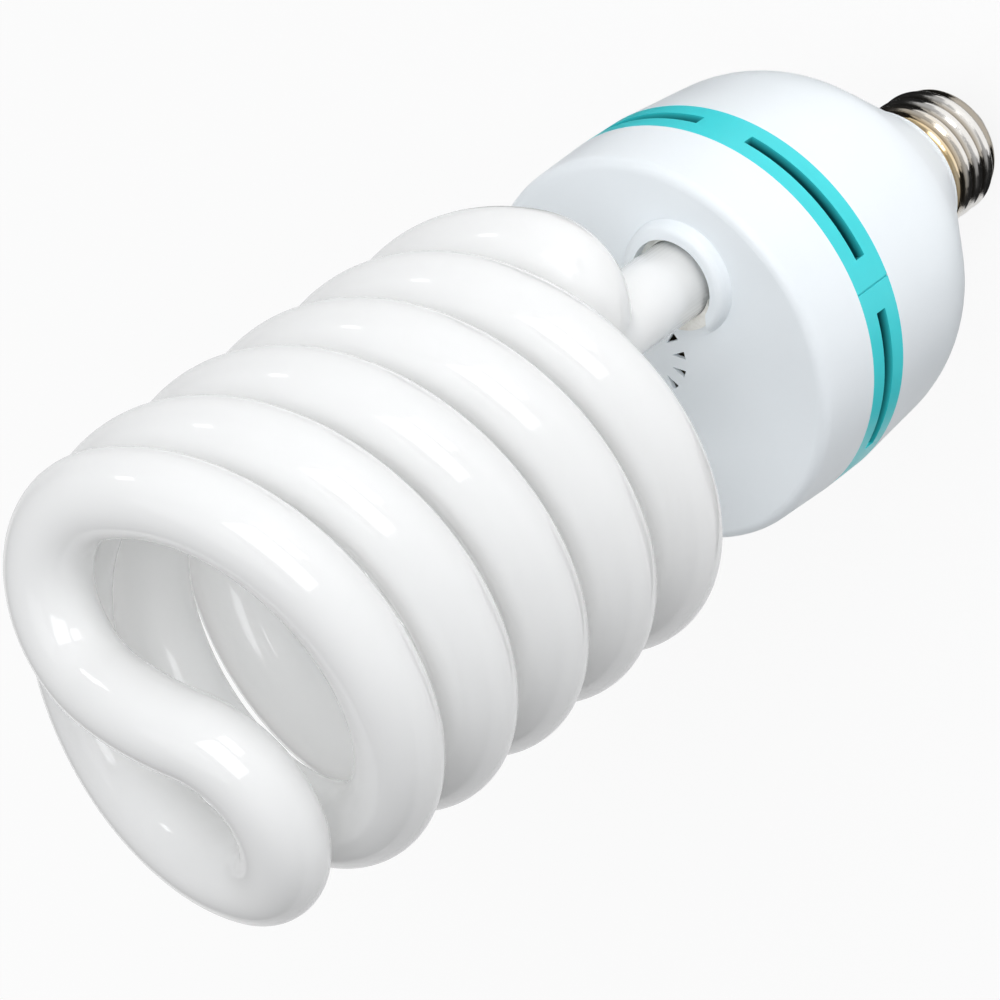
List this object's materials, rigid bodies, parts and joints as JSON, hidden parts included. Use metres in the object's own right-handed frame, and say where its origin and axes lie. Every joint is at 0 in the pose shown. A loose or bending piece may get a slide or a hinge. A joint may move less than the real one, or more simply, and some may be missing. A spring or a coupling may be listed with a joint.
{
  "type": "spiral energy saving lamp",
  "caption": "Spiral compact fluorescent lamp: white double-helix tube on a round ballast housing with a turquoise vent ring and a metal screw cap",
  "frame": {"origin": "centre of the flat face of the cap's end contact", "axes": "+Z along the lamp's axis from the contact to the free end of the tube; the two tube legs stand on the Y axis, with the collar openings turned to the same hand on both; +X completes the right-handed frame"},
  "size_m": [0.0846, 0.0846, 0.247],
  "materials": {
    "coated_glass": "glossy glass, opaque white coating inside",
    "grey_cement": "matt cement",
    "white_plastic": "satin white moulding",
    "turquoise_plastic": "satin turquoise moulding",
    "plated_shell": "nickel plate on brass sheet",
    "black_insulator": "black glass insulator",
    "contact_brass": "tinned brass",
    "board_laminate": "phenolic laminate",
    "black_plastic": "moulded or sleeved black",
    "ferrite": "sintered ferrite",
    "copper_wire": "enamelled copper wire",
    "sink_aluminium": "plain sheet",
    "steel": "tinned or plated",
    "red_plastic": "dipped film capacitor",
    "resistor_body": "lacquered ceramic",
    "lead_sleeve": "plain insulated wire"
  },
  "bodies": {
    "root": {"discharge_tube": "coated_glass", "tube_cement": "grey_cement", "front_cover": "white_plastic", "vent_ring": "turquoise_plastic", "rear_housing": "white_plastic", "screw_shell": "plated_shell", "cap_insulator": "black_insulator", "centre_contact": "contact_brass", "circuit_board": "board_laminate", "bulk_capacitor": "black_plastic", "choke_core": "ferrite", "choke_bobbin": "black_plastic", "choke_winding": "copper_wire", "filter_core": "ferrite", "filter_winding": "copper_wire", "driver_toroid": "ferrite", "toroid_coils": "copper_wire", "heat_sink": "sink_aluminium", "power_transistors": "black_plastic", "transistor_screws": "steel", "film_capacitors": "red_plastic", "rectifier_diodes": "black_plastic", "resistors": "resistor_body", "input_fuse": "resistor_body", "preheat_thermistor": "resistor_body", "live_lead": "lead_sleeve", "neutral_lead": "lead_sleeve", "filament_leads": "steel"}
  },
  "joints": []
}
